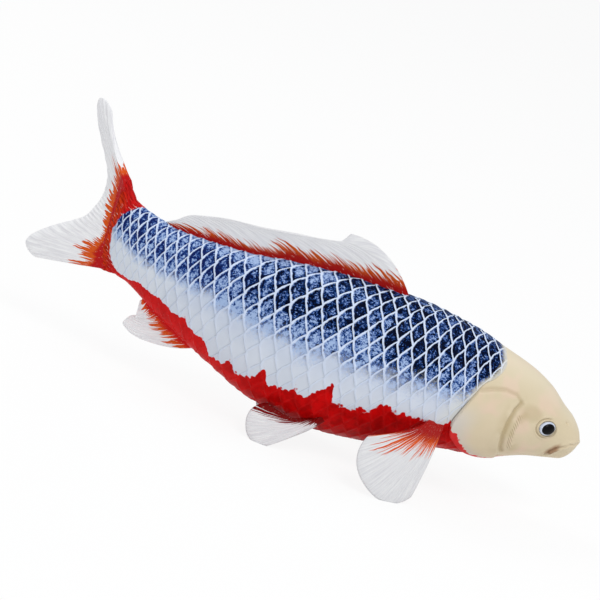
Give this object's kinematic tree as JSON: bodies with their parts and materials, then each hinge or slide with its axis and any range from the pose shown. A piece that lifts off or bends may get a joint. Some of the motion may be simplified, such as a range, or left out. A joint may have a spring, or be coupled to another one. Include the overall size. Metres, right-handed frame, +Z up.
{
  "type": "koi figurine",
  "caption": "Koi figurine in painted relief, hollow body in glued halves, with a swung forked tail and paired fins that it stands on as feet.",
  "frame": {"origin": "on the ground, under the middle of the figurine's bounding box", "axes": "+X from the tail toward the head, +Y toward the fish's left flank, +Z up from the ground"},
  "size_m": [0.2022, 0.0836, 0.0857],
  "materials": {
    "painted_skin": "satin, hand-painted: blue scaled back with white scale edges, pale flank, red belly, cream head",
    "red_tinted_fin": "pearl gloss with red brush strokes at the base",
    "pearl_fin": "pearl gloss, slightly translucent",
    "eye_white": "gloss",
    "pupil_black": "high gloss"
  },
  "bodies": {
    "root": {"right_body_shell": "painted_skin", "left_body_shell": "painted_skin", "dorsal_fin": "red_tinted_fin", "tail_fin": "red_tinted_fin", "anal_fin": "pearl_fin", "right_pectoral_fin": "pearl_fin", "left_pectoral_fin": "pearl_fin", "right_pelvic_fin": "pearl_fin", "left_pelvic_fin": "pearl_fin", "right_eye": "eye_white", "left_eye": "eye_white", "right_pupil": "pupil_black", "left_pupil": "pupil_black"}
  },
  "joints": []
}
